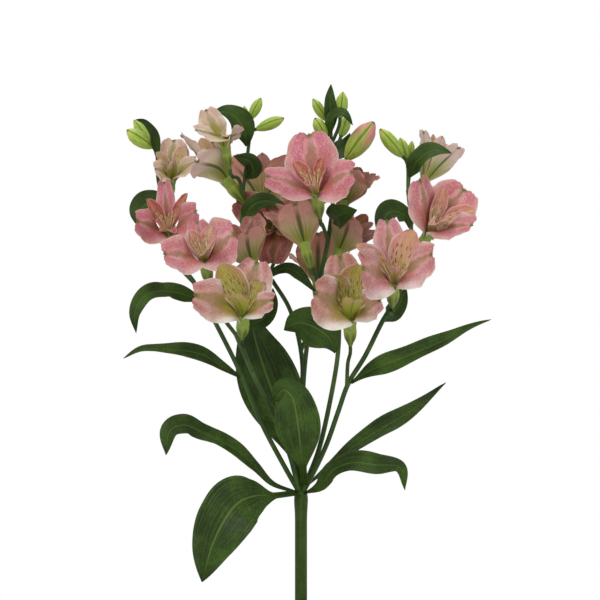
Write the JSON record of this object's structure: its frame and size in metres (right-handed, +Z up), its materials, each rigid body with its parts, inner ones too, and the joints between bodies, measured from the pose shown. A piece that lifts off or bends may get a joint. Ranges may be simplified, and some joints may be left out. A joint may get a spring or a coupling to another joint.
{
  "type": "potted peruvian lily",
  "caption": "Potted Peruvian lily: an upright leafy stem with an umbel of pink lily-like blooms and green buds, standing in soil in a plain round clay pot",
  "frame": {"origin": "the middle of the pot's flat base, on its underside", "axes": "+Z up along the pot's axis and the stem, the side seen in the picture faces -Y, +X to its right"},
  "size_m": [0.2327, 0.163, 0.476],
  "materials": {
    "clay": "unglazed fired clay, matte",
    "soil": "dark crumbly potting soil",
    "stem": "smooth green plant stem, satin",
    "leaf": "dark green leaf with fine parallel veins, satin",
    "tepal": "pink petal, soft satin, with olive and maroon markings",
    "bud": "yellow-green bud with darker ribs, satin"
  },
  "bodies": {
    "root": {"stem": "stem", "bloom_crown": "tepal", "bloom_right": "tepal", "bloom_front_right": "tepal", "bloom_front_centre": "tepal", "bloom_front_left": "tepal", "bloom_left": "tepal", "bloom_far_left": "tepal", "bloom_upper_left": "tepal", "bloom_top_left_low": "tepal", "bloom_top_left_high": "tepal", "bloom_back_left": "tepal", "bloom_middle_left": "tepal", "bloom_lower_left": "tepal", "bloom_centre": "tepal", "bloom_back_right": "tepal", "bloom_middle_right": "tepal", "bloom_back_centre": "tepal", "bloom_far_right": "tepal", "bud_top_left_fat": "bud", "bud_top_left_back": "bud", "bud_crown_left_long": "bud", "bud_crown_left_small": "bud", "bud_crown_left_tiny": "bud", "bud_crown_low": "bud", "bud_crown_left": "bud", "bud_crown_right": "bud", "bud_crown_behind": "bud", "bud_pink_tipped": "bud", "bud_far_right_long": "bud", "bud_far_right_middle": "bud", "bud_far_right_small": "bud", "bract_top_left": "leaf", "bract_far_left": "leaf", "bract_crown_left": "leaf", "bract_crown_left_low": "leaf", "bract_left_arch": "leaf", "bract_crown_tall": "leaf", "bract_crown_arch": "leaf", "bract_crown_back": "leaf", "bract_right_round": "leaf", "bract_far_right": "leaf", "bract_right_fold": "leaf", "bract_front_right": "leaf", "bract_centre_low": "leaf", "bract_behind_front_left": "leaf", "leaf_left_upper": "leaf", "leaf_left_long": "leaf", "leaf_left_low": "leaf", "leaf_front_left_hanging": "leaf", "leaf_big_upright": "leaf", "leaf_centre_folded": "leaf", "leaf_centre_round": "leaf", "leaf_right_upper": "leaf", "leaf_right_middle": "leaf", "leaf_right_low": "leaf", "pot": "clay", "soil": "soil"}
  },
  "joints": []
}
